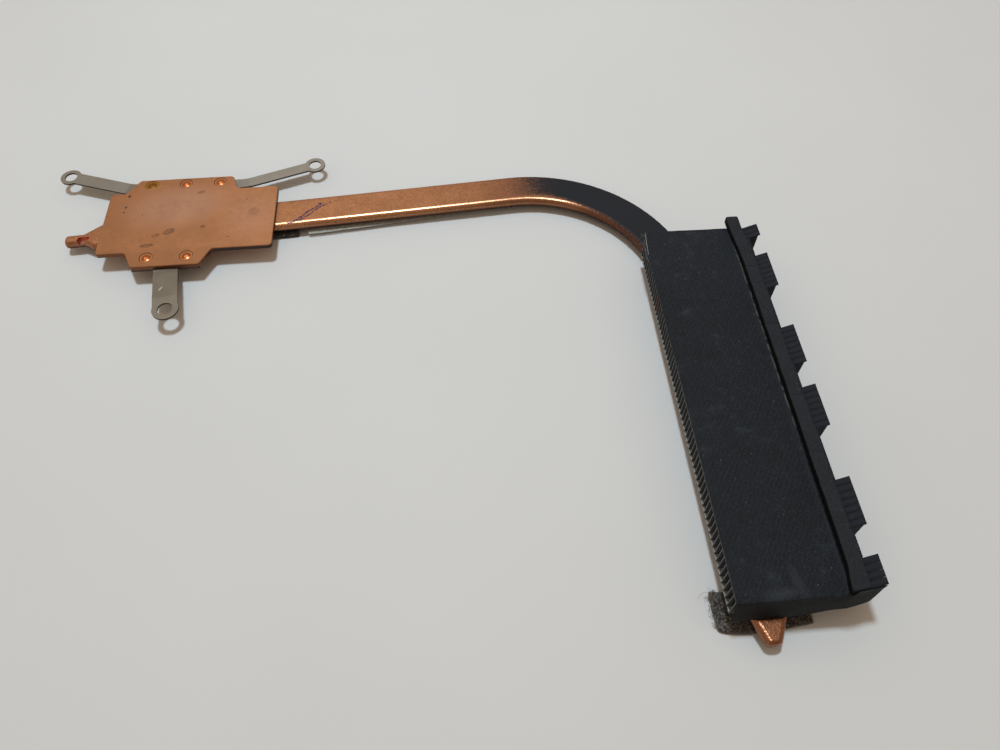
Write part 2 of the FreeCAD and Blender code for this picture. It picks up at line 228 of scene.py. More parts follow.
class Nodes:
    """A node tree and the shader that its nodes feed."""

    def __init__(self, tree, shader):
        self.tree = tree
        self.shader = tree.nodes[shader]

    def link(self, socket, value):
        if isinstance(value, Shade):
            self.tree.links.new(value.socket, socket)
        else:
            socket.default_value = value

    def node(self, kind, settings=None, inputs=None, output=0):
        made = self.tree.nodes.new(kind)
        for key, value in (settings or {}).items():
            setattr(made, key, value)
        for key, value in (inputs or {}).items():
            self.link(made.inputs[key], value)
        return Shade(self, made.outputs[output])

    def feed(self, socket, value):
        self.link(self.shader.inputs[socket], value)

    def math(self, operation, *values, clamp=False):
        settings = {"operation": operation, "use_clamp": clamp}
        return self.node("ShaderNodeMath", settings, dict(enumerate(values)))

    def vector(self, operation, *values, scale=None, output=0):
        inputs = dict(enumerate(values))
        if scale is not None:
            inputs["Scale"] = scale
        return self.node("ShaderNodeVectorMath", {"operation": operation}, inputs, output)

    def split(self, vector):
        made = self.node("ShaderNodeSeparateXYZ", inputs={0: vector}).socket.node
        return [Shade(self, s) for s in made.outputs]


class Finish(Nodes):
    """One procedural material, measured in millimetres of the part."""

    def __init__(self, name, constants=None):
        self.material = bpy.data.materials.new(name)
        self.material.use_nodes = True
        super().__init__(self.material.node_tree, "Principled BSDF")
        for socket, value in (constants or {}).items():
            self.shader.inputs[socket].default_value = value
        coordinates = self.node("ShaderNodeTexCoord", output="Object")
        self.place = self.vector("SCALE", coordinates, scale=1 / MM)
        self.x, self.y, self.z = self.split(self.place)

    def normal(self):
        return self.split(self.node("ShaderNodeTexCoord", output="Normal"))

    def smooth(self, value, low, high):
        """0 below low and 1 above high, eased between; low may be above high."""
        eased = {"interpolation_type": "SMOOTHSTEP"}
        return self.node("ShaderNodeMapRange", eased, {0: value, 1: low, 2: high})

    def noise(self, scale, detail=2.0, stretch=None):
        place = self.vector("MULTIPLY", self.place, stretch) if stretch else self.place
        return self.node("ShaderNodeTexNoise", inputs={"Vector": place, "Scale": scale, "Detail": detail})

    def cells(self, scale):
        return self.node("ShaderNodeTexVoronoi", inputs={"Vector": self.place, "Scale": scale})

    def highest(self, values):
        """The largest of several shades."""
        top = values[0]
        for value in values[1:]:
            top = self.math("MAXIMUM", top, value)
        return top

    def mix(self, factor, first, second):
        """Blends two colours."""
        inputs = {0: factor, 6: rgba(first), 7: rgba(second)}
        return self.node("ShaderNodeMix", {"data_type": "RGBA"}, inputs, 2)

    def shaded(self, colour, value):
        """A colour times a shade or another colour."""
        settings = {"data_type": "RGBA", "blend_type": "MULTIPLY"}
        return self.node("ShaderNodeMix", settings, {0: 1.0, 6: rgba(colour), 7: rgba(value)}, 2)

    def spot(self, centre, radii, turn=0.0, soft=0.35, wobble=None):
        """An oval mark on the plan, 1 inside and 0 outside, with its edge moved by a wobble."""
        across = self.x - centre[0]
        up = self.y - centre[1]
        cos, sin = math.cos(turn), math.sin(turn)
        u = (across * cos + up * sin) / radii[0]
        v = (up * cos - across * sin) / radii[1]
        reach = self.math("SQRT", u * u + v * v)
        if wobble:
            reach = reach + wobble
        return self.smooth(reach, 1.0 + soft, 1.0 - soft)

    def stroke(self, points, half_width, wobble):
        """A drawn line through points of the plan."""
        flat = self.vector("MULTIPLY", self.place, (1.0, 1.0, 0.0))
        nearest = None
        for start, end in zip(points, points[1:]):
            run = Vector((end[0] - start[0], end[1] - start[1], 0.0))
            offset = self.vector("SUBTRACT", flat, (start[0], start[1], 0.0))
            share = self.vector("DOT_PRODUCT", offset, tuple(run), output=1) / run.length_squared
            share = self.math("ADD", share, 0.0, clamp=True)
            foot = self.vector("SCALE", tuple(run), scale=share)
            away = self.vector("DISTANCE", offset, foot, output=1)
            nearest = away if nearest is None else self.math("MINIMUM", nearest, away)
        return self.smooth(nearest + wobble, half_width * 1.5, half_width * 0.5)

    def bump(self, height, distance, strength=1.0, normal=None):
        inputs = {"Height": height, "Distance": distance * MM, "Strength": strength}
        if normal:
            inputs["Normal"] = normal
        return self.node("ShaderNodeBump", inputs=inputs)

    def give(self, *objects):
        """Puts the material on objects as their only one."""
        for obj in objects:
            obj.data.materials.clear()
            obj.data.materials.append(self.material)


def on_plate(x, y):
    """A point of the plan, counted from the plate's middle."""
    return (PLATE_X + x, PLATE_Y + y)


def plate_finish(colours):
    """Satin copper with handling marks and solder flux by one clinch, a painted highlight towards the
    right, and painted shade on the cut edges and round the cups.
    """
    f = Finish("plate_copper", {"Metallic": 1.0})
    broad = f.noise(0.16, 3.0)
    patchy = f.noise(0.9, 4.0)
    fine = f.noise(7.0, 2.0)
    ragged = (f.noise(2.4, 3.0) - 0.5) * 1.1
    pink = f.spot(on_plate(-3.2, 4.4), (9.5, 5.5), 0.15, 0.6, (patchy - 0.5) * 0.8)
    pink = f.math("MAXIMUM", pink, f.spot(on_plate(13.0, 1.0), (5.0, 6.0), 0.0, 0.7, ragged) * 0.5)
    colour = f.mix(pink, colours.plate, colours.plate_middle)
    # Painted highlight: the copper grows lighter towards the plate's right
    along = (f.x - PLATE_X) * 0.0035
    colour = f.shaded(colour, 0.80 + along + broad * 0.30 + (patchy - 0.5) * 0.16 + (fine - 0.5) * 0.12)
    low_tab = f.smooth(f.y, PLATE_Y - 7.5, PLATE_Y - 10.0)
    colour = f.shaded(colour, 1.0 - low_tab * 0.13)
    specks = [((-14.26, 8.26), 0.32), ((-14.41, 4.76), 0.26), ((-14.57, 3.22), 0.2), ((-10.4, 2.1), 0.12),
              ((11.8, 5.4), 0.16), ((8.9, -5.9), 0.14)]
    marks = [f.spot(on_plate(*at), (size, size * 1.2), 0.3, 0.4, ragged * 0.4) for at, size in specks]
    smudges = [((-3.84, -3.38), (1.25, 0.75), 0.5, 0.9), ((-6.5, -4.38), (0.8, 0.5), 0.2, 0.7),
               ((-7.9, -7.22), (1.3, 0.5), 0.1, 1.0), ((3.2, -2.48), (0.6, 0.5), 0.0, 0.8),
               ((1.44, 8.37), (0.9, 0.45), 0.3, 0.75), ((13.85, 1.46), (1.2, 1.1), 0.0, 0.4)]
    stain = 0.5 + f.smooth(f.noise(3.2, 4.0), 0.42, 0.62) * 0.5
    for at, radii, turn, dark in smudges:
        rim = f.spot(on_plate(*at), radii, turn, 0.3, ragged)
        core = f.spot(on_plate(*at), (radii[0] * 0.6, radii[1] * 0.55), turn, 0.5, ragged)
        marks.append((rim - core * 0.35) * stain * dark)
    pits = f.smooth(f.cells(0.75), 0.1, 0.055) * f.smooth(broad, 0.47, 0.6) * 0.75
    marked = f.highest(marks)
    colour = f.mix(f.math("MAXIMUM", marked, pits) * 0.85, colour, colours.tarnish_and_shade)
    flux = f.spot(on_plate(-9.9, 11.5), (2.0, 1.25), 0.1, 0.3, ragged * 0.8)
    cups = f.highest([f.spot(on_plate(*at), (CUP_RADIUS, CUP_RADIUS), 0.0, 0.06) for at in CLINCHES])
    cup = cups * (1.0 - flux)
    colour = f.mix(cup * 0.85, colour, colours.cup)
    wide = f.highest([f.spot(on_plate(*at), (CUP_RIM, CUP_RIM), 0.0, 0.05) for at in CLINCHES])
    # Painted shade: a dark ring in the shallow step round each cup
    colour = f.mix((wide - cups) * 0.6, colour, colours.tarnish_and_shade)
    colour = f.mix(flux * 0.8, colour, colours.flux)
    nz = f.normal()[2]
    # Painted shade: the cut edges take a brown reflection of the shaded table, turning dark bluish on the
    # right
    side = f.smooth(f.math("ABSOLUTE", nz), 0.5, 0.2)
    right = f.smooth(f.x + (patchy - 0.5) * 8.0, PLATE_X + 2.0, PLATE_X + 8.0)
    rim = f.mix(right, colours.plate_rim_shade, colours.plate_rim_dark_reflection)
    colour = f.mix(side * 0.9, colour, rim)
    colour = f.mix(f.smooth(nz, -0.5, -0.8), colour, colours.under)
    f.feed("Base Color", colour)
    f.feed("Roughness", 0.36 + fine * 0.1 + patchy * 0.14 + flux * 0.2 - cup * 0.1)
    grain = f.bump(f.noise(11.0, 2.0, (1.0, 0.35, 1.0)), 0.006)
    f.feed("Normal", f.bump(flux + marked * -0.5, 0.05, 0.6, grain))
    return f


def pipe_finish(colours):
    """Grainy copper, sprayed black over the bend, with a stray pen stroke beside the plate, a painted
    highlight on the rounded edges and painted shade on the lower sides and the tip.
    """
    f = Finish("pipe_copper", {"Specular IOR Level": 0.2})
    broad = f.noise(0.22, 3.0)
    patchy = f.noise(1.1, 4.0)
    grain = f.noise(7.5, 3.0)
    spray = f.noise(9.0, 2.0)
    peel = f.noise(3.2, 2.0)
    nz = f.normal()[2]
    # Painted highlight: the rounded edges take a brighter copy of the copper, the flat top a darker one
    # against the lamp's glare
    flat = f.smooth(nz, 0.985, 0.999) * f.smooth(f.y, STACK_NEAR, STACK_NEAR + 4.0)
    colour = f.mix(flat, colours.pipe_edge_highlight, colours.pipe)
    along = (PLATE_X + 42.0 - f.x) * flat * 0.003
    speckle = (grain - 0.5) * 0.7 + (peel - 0.5) * 1.1
    colour = f.shaded(colour, 0.76 + along + broad * 0.36 + (patchy - 0.5) * 0.2 + speckle)
    # Painted shade: the pipe's lower sides turn reddish brown; the same brown marks the overspray before
    # the bend and the far bend
    shaded_low_side = f.smooth(nz + (grain - 0.5) * 0.4, 0.5, 0.0)
    singed = f.smooth(f.x + (patchy - 0.5) * 8.0, PLATE_X + 56.0, PLATE_X + 72.0) * 0.55
    turned = f.smooth(f.x + (spray - 0.5) * 10.0, PLATE_X + 80.0, PLATE_X + 87.0)
    turned = turned * f.smooth(f.y, STACK_NEAR + 4.0, STACK_NEAR + 9.0)
    brown = f.highest([shaded_low_side * 0.8, singed, turned * 0.95])
    colour = f.mix(brown, colour, f.shaded(colours.pipe_brown_and_shade, (0.5 + grain) * (1.0 - turned * 0.1)))
    shaded_side = f.smooth(nz, 0.15, -0.25) * f.smooth(nz, -0.95, -0.8)
    colour = f.mix(shaded_side * 0.8, colour, colours.tarnish_and_shade)
    # Painted shade on the lower half of the bend's sides
    foot = turned * f.smooth(f.z + (spray - 0.5), 2.6, 2.0)
    colour = f.mix(foot * 0.7, colour, colours.tarnish_and_shade)
    pits = f.smooth(f.cells(1.1), 0.13, 0.06) * f.smooth(patchy, 0.48, 0.62)
    colour = f.mix(pits * 0.6, colour, colours.tarnish_and_shade)
    # Painted shade: the tip is darkened, a dark reflection put into its copper
    tip = f.smooth(f.y + (patchy - 0.5) * 2.0, STACK_NEAR + 0.5, STACK_NEAR - 1.5)
    colour = f.mix(tip * 0.2, colour, colours.pipe_brown_and_shade)
    crimped = f.smooth(f.x + (peel - 0.5) * 4.0, PLATE[0][0] + 1.0, PLATE[0][0] - 1.5)
    colour = f.mix(crimped * (0.15 + patchy * 0.35), colour, colours.pipe_brown_and_shade)
    ink_wobble = (f.noise(7.0, 2.0) - 0.5) * 0.16
    strokes = [[(21.08, -1.91), (23.29, -1.29), (25.2, -0.06), (26.27, 1.1), (27.92, 2.6), (29.16, 3.32)],
               [(22.6, -1.25), (24.1, 0.05), (25.3, 1.4), (26.8, 2.4), (27.8, 3.2)],
               [(27.5, 3.75), (28.1, 3.5)], [(29.95, 3.85), (30.1, 3.75)]]
    inks = [f.stroke([on_plate(*p) for p in points], 0.2, ink_wobble) for points in strokes]
    ink = f.highest(inks) * f.smooth(f.noise(3.1, 2.0), 0.38, 0.5)
    colour = f.mix(ink, colour, colours.pen)
    stub = f.vector("SUBTRACT", f.place, tuple(STUB_HOLLOW))
    beside = f.vector("CROSS_PRODUCT", stub, tuple(PIPE_ALONG))
    hollow = f.smooth(f.vector("LENGTH", beside, output=1), 0.8, 0.74)
    hollow = hollow * f.smooth(f.x, STUB_HOLLOW.x + 1.5, STUB_HOLLOW.x + 1.2)
    hollow = hollow * f.smooth(f.x, STUB_HOLLOW.x - 1.7, STUB_HOLLOW.x - 1.4)
    colour = f.mix(hollow, colour, colours.hollow)
    inward = PLATE_CENTRE + PIPE_ALONG * PIPE_REACH - PIPE_ACROSS * BEND_RADIUS
    out_x = f.x - inward.x
    out_y = f.y - inward.y
    out = f.math("SQRT", out_x * out_x + out_y * out_y) + (spray - 0.5) * 2.6 + (peel - 0.5) * 2.2
    bare_to = 27.7 - f.smooth(f.x, PLATE_X + 77.0, PLATE_X + 87.0)
    bare_to = bare_to - f.smooth(f.x, PLATE_X + 85.0, PLATE_X + 94.0) * 0.5
    start = f.smooth(f.x + (spray - 0.5) * 34.0 + (patchy - 0.5) * 6.0, PLATE_X + 70.5, PLATE_X + 75.5)
    paint = start * f.smooth(out - bare_to, -0.25, 0.25) * f.smooth(f.y, STACK_NEAR - 1.0, STACK_NEAR + 1.0)
    colour = f.mix(paint, colour, colours.paint)
    f.feed("Base Color", colour)
    bare = 1.0 - f.math("MAXIMUM", paint, ink * 0.6)
    f.feed("Metallic", bare)
    f.feed("Roughness", 0.19 + grain * 0.16 + f.highest([1.0 - bare, turned, flat * 0.7]) * 0.3)
    dents = f.bump(paint * 0.25 + patchy * (0.15 + tip), 0.12, 0.5)
    f.feed("Normal", f.bump(grain + spray * 0.3 + peel * 1.6, 0.012, 0.8, dents))
    return f


def spring_finish(colours):
    """Dull blanked steel with a rolled grain, scuffs, and painted shade on its edges."""
    f = Finish("spring_steel", {"Metallic": 1.0})
    broad = f.noise(0.35, 3.0)
    rolled = f.noise(5.0, 3.0, (0.25, 1.0, 1.0))
    fine = f.noise(9.0, 2.0)
    colour = f.shaded(colours.spring, 0.82 + broad * 0.26 + (rolled - 0.5) * 0.22)
    colour = f.shaded(colour, 1.0 + f.smooth(f.x, PLATE_X + 6.0, PLATE_X + 12.0) * 0.13)
    lower = f.smooth(f.y, PLATE_Y - 8.0, PLATE_Y - 11.0)
    colour = f.mix(lower, colour, f.shaded(colour, colours.lower_tint))
    scuff_wobble = (fine - 0.5) * 0.5
    scuff = f.spot(on_plate(-3.2, -19.2), (0.18, 0.6), -0.5, 0.5, scuff_wobble)
    colour = f.mix(scuff * 0.5, colour, colours.scratch)
    # Painted shade on the springs' sides
    side = f.smooth(f.math("ABSOLUTE", f.normal()[2]), 0.6, 0.25)
    colour = f.mix(side * 0.75, colour, colours.tarnish_and_shade)
    f.feed("Base Color", colour)
    f.feed("Roughness", 0.50 + rolled * 0.1 + fine * 0.1)
    f.feed("Normal", f.bump(rolled + fine * 0.6, 0.005))
    return f


def fin_finish(colours):
    """Painted shade on the walls and dusty floors at the inlet, black paint over the flared outlet, a rib
    to each fin.
    """
    f = Finish("fin_aluminium", {"Specular IOR Level": 0.2})
    broad = f.noise(0.3, 3.0)
    fine = f.noise(6.0, 2.0)
    dust = f.noise(2.2, 4.0)
    nx, ny, nz = f.normal()
    # Painted shade: the walls between the fins take a dark copy of the aluminium
    shaded_wall = f.smooth(f.math("ABSOLUTE", ny), 0.4, 0.7)
    edge = f.smooth(f.math("ABSOLUTE", nx), 0.4, 0.7)
    colour = f.mix(edge, colours.fin, colours.fin_edge)
    colour = f.mix(shaded_wall, colour, colours.fin_wall_shade)
    colour = f.shaded(colour, 0.7 + broad * 0.3 + (fine - 0.5) * 0.3 + (dust - 0.5) * 0.5)
    rust = f.spot((54.3, 6.8), (2.2, 0.5), 0.0, 0.5, (dust - 0.5) * 0.9)
    colour = f.mix(rust * 0.7, colour, colours.rust)
    flared = f.smooth(f.x + (fine - 0.5) * 1.2, FOLD_X - 2.2, FOLD_X - 0.8)
    top = f.smooth(f.z, FIN_TOP - 0.12, FIN_TOP - 0.04)
    paint = f.math("MAXIMUM", flared, top)
    worn = f.smooth(f.noise(1.7, 4.0), 0.70, 0.76) * f.smooth(fine, 0.5, 0.6)
    lint = f.smooth(dust, 0.60, 0.72) * paint
    # The fins take a lighter copy of the bend's black paint, painted light on the ribbed tabs
    colour = f.mix(paint * (1.0 - worn * 0.4), colour, [v * 1.25 for v in colours.paint])
    colour = f.mix(lint * 0.05, colour, colours.fin_lint)
    f.feed("Base Color", colour)
    f.feed("Metallic", (1.0 - paint) * 0.1)
    f.feed("Roughness", 0.45 + fine * 0.12 + paint * 0.2)
    skew = f.math("MAXIMUM", f.x - FOLD_X, 0.0) * FIN_SKEW
    turn = f.math("FRACT", (f.y - STACK_NEAR - skew) / FIN_PITCH) * 2.0 - 1.0
    rib = f.bump((1.0 - turn * turn) * flared, 0.14)
    f.feed("Normal", f.bump(fine + dust * 0.5, 0.012, 0.8, rib))
    return f


def film_finish(colours):
    """Black cloth tape: a fine slanted weave under bluish dust, rubbed smudges and crumbs, painted shade
    down the flap and a painted highlight along the lip.
    """
    f = Finish("black_film", {"Specular IOR Level": 0.2})
    wander = f.noise(0.8, 3.0) * 5.0
    warp = f.math("SINE", (f.x * 0.85 - f.y * 0.53) * 8.4 + wander)
    weft = f.math("SINE", (f.x * 0.53 + f.y * 0.85) * 11.0 - wander)
    weave = (warp * 0.7 + weft * 0.3) * f.noise(1.4, 3.0)
    broad = f.noise(0.11, 3.0)
    patchy = f.noise(0.55, 5.0)
    lint = f.noise(3.4, 3.0)
    speckle = f.smooth(f.noise(3.6, 5.0), 0.48, 0.74)
    # Painted shade: the flap down the near end is darkened and keeps no bluish dust
    flap = f.smooth(f.y, STACK_NEAR + 0.1, STACK_NEAR - 0.5)
    shade = 0.4 + f.smooth(f.y, 0.0, 18.0) * 0.35 + broad * 0.6 + weave + (patchy - 0.5) + speckle * 1.6
    colour = f.shaded(colours.film, f.math("MAXIMUM", shade, 0.1) * (1.0 - flap * 0.85))
    colour = f.mix(speckle * 0.1 * (1.0 - flap), colour, colours.film_dust)
    dust = f.smooth(f.cells(0.62), 0.115, 0.05) * f.smooth(f.noise(0.4, 2.0), 0.47, 0.6)
    crumbs = f.smooth(f.cells(1.55), 0.10, 0.045) * f.smooth(f.noise(0.3, 2.0), 0.48, 0.58)
    rubbed = f.smooth(patchy + (lint - 0.5) * 0.35, 0.56, 0.72) * f.smooth(broad, 0.44, 0.62)
    wobble = (lint - 0.5) * 1.4
    smudges = [((56.6, 2.0), (1.1, 0.5), 0.6, 0.7, 0.6), ((59.6, -53.2), (2.4, 0.8), 0.1, 0.8, 0.7),
               ((62.4, -51.6), (0.7, 2.4), 0.2, 0.8, 0.5)]
    smudged = [f.spot(at, radii, turn, soft, wobble) * pale for at, radii, turn, soft, pale in smudges]
    rubbed = f.highest([rubbed * 0.45] + smudged)
    pale = f.highest([dust * 0.8, crumbs * 0.6, rubbed * 0.34])
    colour = f.mix(pale * 0.34, colour, colours.film_rub)
    edge_wobble = (f.noise(0.9, 3.0) - 0.5) * 0.22
    # Painted highlight: a pale line along the lip where the tape rises against the foam
    lip = f.smooth(f.math("ABSOLUTE", f.x + edge_wobble - FOLD_X + 0.02), 0.2, 0.05)
    lip = lip * f.smooth(f.noise(0.5, 3.0), 0.40, 0.56)
    lip = lip * f.smooth(f.y, STACK_NEAR + 22.0, STACK_NEAR + 36.0)
    colour = f.mix(lip * 0.3, colour, colours.film_edge_and_lip_highlight)
    f.feed("Base Color", colour)
    f.feed("Roughness", 0.62 + weave * 0.04 + pale * 0.25)
    f.feed("Normal", f.bump(weave * 0.5 + lint * 0.8 + speckle, 0.03, 0.8))
    return f


def film_rim_finish(colours):
    """The cut edge of the tape: pale and frayed on the left, black elsewhere."""
    f = Finish("film_rim", {"Specular IOR Level": 0.2, "Roughness": 0.8})
    left = f.smooth(f.x, STACK_LEFT + 2.4, STACK_LEFT + 1.6)
    left = left * f.smooth(f.y, STACK_NEAR - 0.3, STACK_NEAR + 0.3)
    far = f.smooth(f.y, STACK_FAR - 11.0, STACK_FAR - 5.0)
    worn = 0.25 + f.smooth(f.noise(0.5, 3.0), 0.42, 0.6) * 0.35 + far * 0.5
    f.feed("Base Color", f.mix(left * worn, colours.film, colours.film_edge_and_lip_highlight))
    return f


def foam_finish(colours):
    """Open charcoal foam: fine cells, with the top painted paler than the shaded sides."""
    f = Finish("black_foam", {"Specular IOR Level": 0.12})
    pores = f.cells(2.8)
    fine = f.noise(4.0, 4.0)
    broad = f.noise(0.35, 3.0)
    nz = f.normal()[2]
    # Painted light: the top is made paler than the shaded sides, with some broad variation
    top = f.smooth(nz, 0.35, 0.85)
    rubbed = top * (1.4 + broad * 0.7)
    colour = f.shaded(colours.foam, 0.1 + pores * 0.7 + rubbed + (fine - 0.5) * 1.8)
    lint = f.smooth(f.noise(1.6, 4.0), 0.66, 0.74) * top
    colour = f.mix(lint * 0.3, colour, colours.foam_lint)
    f.feed("Base Color", colour)
    f.feed("Roughness", 0.82 + fine * 0.12)
    f.feed("Normal", f.bump(pores + fine, 0.09, 0.9))
    return f


def felt_finish(name, colour, pale_colour):
    """Matted felt with paler and darker wool in it."""
    f = Finish(name, {"Specular IOR Level": 0.15, "Sheen Weight": 0.15, "Sheen Roughness": 0.6})
    wool = f.noise(2.6, 5.0)
    strands = f.noise(4.0, 4.0, (0.4, 1.6, 1.0))
    fine = f.noise(10.0, 2.0)
    tufts = f.smooth(wool, 0.35, 0.65) * 1.3
    shade = f.shaded(colour, 0.05 + tufts + strands * 0.5 + (fine - 0.5) * 0.8)
    pale = f.smooth(strands, 0.56, 0.66) * f.smooth(wool, 0.42, 0.58)
    f.feed("Base Color", f.mix(pale * 0.6, shade, pale_colour))
    f.feed("Roughness", 0.85 + fine * 0.1)
    f.feed("Normal", f.bump(wool + strands * 0.7 + fine * 0.4, 0.2, 0.9))
    return f


def tape_finish(colours):
    """Thin clear tape, greyed by dust and lifted glue."""
    f = Finish("clear_tape", {"IOR": 1.48, "Specular IOR Level": 0.3})
    haze = f.noise(1.2, 4.0)
    fine = f.noise(6.0, 3.0)
    f.feed("Base Color", f.shaded(colours.tape, 0.7 + haze * 0.5))
    f.feed("Roughness", 0.5 + fine * 0.25)
    f.feed("Alpha", 0.5 + f.smooth(haze, 0.4, 0.7) * 0.25)
    f.feed("Normal", f.bump(fine + haze, 0.03, 0.6))
    return f


def new_piece(name, mesh_from):
    """A mesh object made from a bmesh whose points are in millimetres."""
    bmesh.ops.recalc_face_normals(mesh_from, faces=mesh_from.faces)
    bmesh.ops.scale(mesh_from, vec=(MM, MM, MM), verts=mesh_from.verts)
    mesh = bpy.data.meshes.new(name)
    mesh_from.to_mesh(mesh)
    mesh_from.free()
    obj = bpy.data.objects.new(name, mesh)
    bpy.context.scene.collection.objects.link(obj)
    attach(obj, "root")
    return obj


def smooth_shading(obj):
    for polygon in obj.data.polygons:
        polygon.use_smooth = True


def ease(value, low, high):
    """0 at low and 1 at high, eased between; low may be above high."""
    share = min(max((value - low) / (high - low), 0.0), 1.0)
    return share * share * (3.0 - 2.0 * share)


def spread(low, high, count):
    """Evenly spaced values from low to high, both included."""
    return [low + (high - low) * i / count for i in range(count + 1)]


def unevenness(point, scale):
    """Smooth noise at a point, from about -1 to 1."""
    return noise.noise(Vector(point) * scale)


def loft(bm, rings):
    """Quads between rings of equal length, with a flat cap at both ends."""
    rows = [[bm.verts.new(p) for p in ring] for ring in rings]
    for row, after in zip(rows, rows[1:]):
        for i in range(len(row)):
            bm.faces.new((row[i - 1], row[i], after[i], after[i - 1]))
    bm.faces.new(rows[0])
    bm.faces.new(rows[-1])


def film_left(y):
    """The cut left edge of the film: it hangs over the fins at the far end and is clipped at its corner."""
    over = 0.1 * ease(y, STACK_FAR - 39.0, STACK_FAR - 27.0)
    over += 0.3 * ease(y, STACK_FAR - 13.0, STACK_FAR - 6.0)
    clipped = 0.8 * ease(y, STACK_FAR - 4.3, STACK_FAR)
    return STACK_LEFT - over + clipped + 0.06 * unevenness((0.0, y, 3.0), 0.5)


def film_far(x):
    """The film's far edge, which lies a little askew."""
    share = (x - FILM[0][0]) / (FOLD_X - FILM[0][0])
    return FILM[1][1] + 0.42 - 0.38 * share + 0.06 * unevenness((x, 0.0, 7.0), 0.6)


class HEATSINK_OT_film(bpy.types.Operator):
    """Lays the black cloth tape over the fins and folds it over their near end"""
    bl_idname = "heatsink.film"
    bl_label = "Cover film"

    def execute(self, context):
        colours = context.scene.heatsink_colours
        sizes = context.scene.heatsink_sizes
        wave = sizes.film_wave / MM
        top = FILM[1][2] - wave
        bottom = FILM[0][2]
        near = STACK_NEAR - 0.2
        flap_slope = 1.14 / (FIN_TOP - bottom)
        fold_drop = 0.12
        flat_lanes = 24
        wing_lanes = 8
        lip = [(-0.24, 0.05), (-0.12, 0.14), (0.0, 0.16), (0.12, 0.10), (0.3, 0.04)]
        last_lane = flat_lanes + len(lip)
        flat_rows = 110
        flap_rows = 14
        reach = FINS[1][0] - FOLD_X - 0.05
        bm = bmesh.new()
        grid = {}

        def across(i, y):
            """Sideways place of a lane and the lift of the lip there."""
            left = film_left(y)
            if i <= flat_lanes:
                return left + (FOLD_X - 0.4 - left) * i / flat_lanes, 0.0
            if i > last_lane:
                return FOLD_X + 0.3 + (reach - 0.3) * (i - last_lane) / wing_lanes, 0.0
            shift, lift = lip[i - flat_lanes - 1]
            wander = 0.10 * unevenness((0.0, y, 12.0), 0.35) + 0.05 * unevenness((0.0, y, 2.0), 1.6)
            return FOLD_X + shift + wander, lift * (0.8 + 0.9 * unevenness((3.0, y, 12.0), 0.6))

        def height(x, y):
            """Height of the flat part, slack all over and drooping past the fins' left edge."""
            hang = max(STACK_LEFT - x, 0.0)
            slack = wave * unevenness((x, y, 1.0), 0.35) + 0.4 * wave * unevenness((x, y, 5.0), 1.3)
            return top + slack - 0.25 * hang * hang

        def wing_rim(out):
            """Height of the wing's upper edge: over the foam's end, then along the flared fins."""
            slope = FIN_TOP + out * FLARE_SLOPE + 0.03
            return slope + (FOAM[1][2] - 0.12 - slope) * ease(out, 3.4, 2.6)

        def on_top(i, run):
            """A point of the flat part, from its far edge to the fold."""
            x, lift = across(i, STACK_FAR + run * (near - STACK_FAR))
            far = film_far(x)
            y = far + (near - far) * run
            round_off = ease(y, near + 0.45, near)
            return x, y, height(x, y) + lift * (1.0 - round_off) - fold_drop * round_off

        def on_flap(i, drop):
            """A point of the flap over the near end, from the fold down."""
            x, _ = across(i, near)
            out = max(x - FOLD_X, 0.0)
            share = out / reach
            lowest = bottom + 0.3 + 1.2 * ease(x, FOLD_X - 9.0, FOLD_X) + 0.3 * share
            rim = height(x, near) - fold_drop if i <= last_lane else wing_rim(out)
            z = rim + (lowest - rim) * drop
            fall = max(FIN_TOP + 0.2 - z, 0.0)
            y = near + out * FIN_SKEW - fall * flap_slope - 0.05 * math.sin(drop * math.pi)
            x -= 1.5 * share * share * drop
            return x, y + 0.05 * unevenness((x, z, 9.0), 0.5), z

        for i in range(last_lane + wing_lanes + 1):
            for j in range(flat_rows + flap_rows + 1):
                if j > flat_rows:
                    grid[i, j] = bm.verts.new(on_flap(i, (j - flat_rows) / flap_rows))
                elif i <= last_lane:
                    grid[i, j] = bm.verts.new(on_top(i, j / flat_rows))
        for i, j in grid:
            corners = [(i, j), (i + 1, j), (i + 1, j + 1), (i, j + 1)]
            if all(c in grid for c in corners):
                bm.faces.new([grid[c] for c in corners])
        film = new_piece("film_skin", bm)
        smooth_shading(film)
        shell = film.modifiers.new("thickness", "SOLIDIFY")
        shell.thickness = sizes.film_thickness
        shell.offset = -1.0
        shell.material_offset_rim = 1
        film.modifiers.new("sharp_rim", "EDGE_SPLIT").split_angle = math.radians(50.0)
        if film.data.polygons[0].normal.z < 0:
            film.data.flip_normals()
        film_finish(colours).give(film)
        film.data.materials.append(film_rim_finish(colours).material)
        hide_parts("cover_film")
        return {"FINISHED"}


def foam_section(left, right, crown, foot_left, foot_right, rounding):
    """The strip's outline: up the left side, over the rounded top and down the right side."""
    quarter = spread(0.0, math.pi / 2, 3)
    corner = [(rounding * (1 - math.cos(a)), rounding * (1 - math.sin(a))) for a in quarter]
    ring = [(left, z) for z in spread(foot_left, crown - rounding, 4)]
    ring += [(left + low, crown - high) for low, high in corner[1:]]
    ring += [(x, crown + 0.02) for x in spread(left + rounding, right - rounding, 6)[1:-1]]
    ring += [(right - high, crown - low) for low, high in corner]
    ring += [(right, z) for z in spread(crown - rounding, foot_right, 3)[1:]]
    return ring


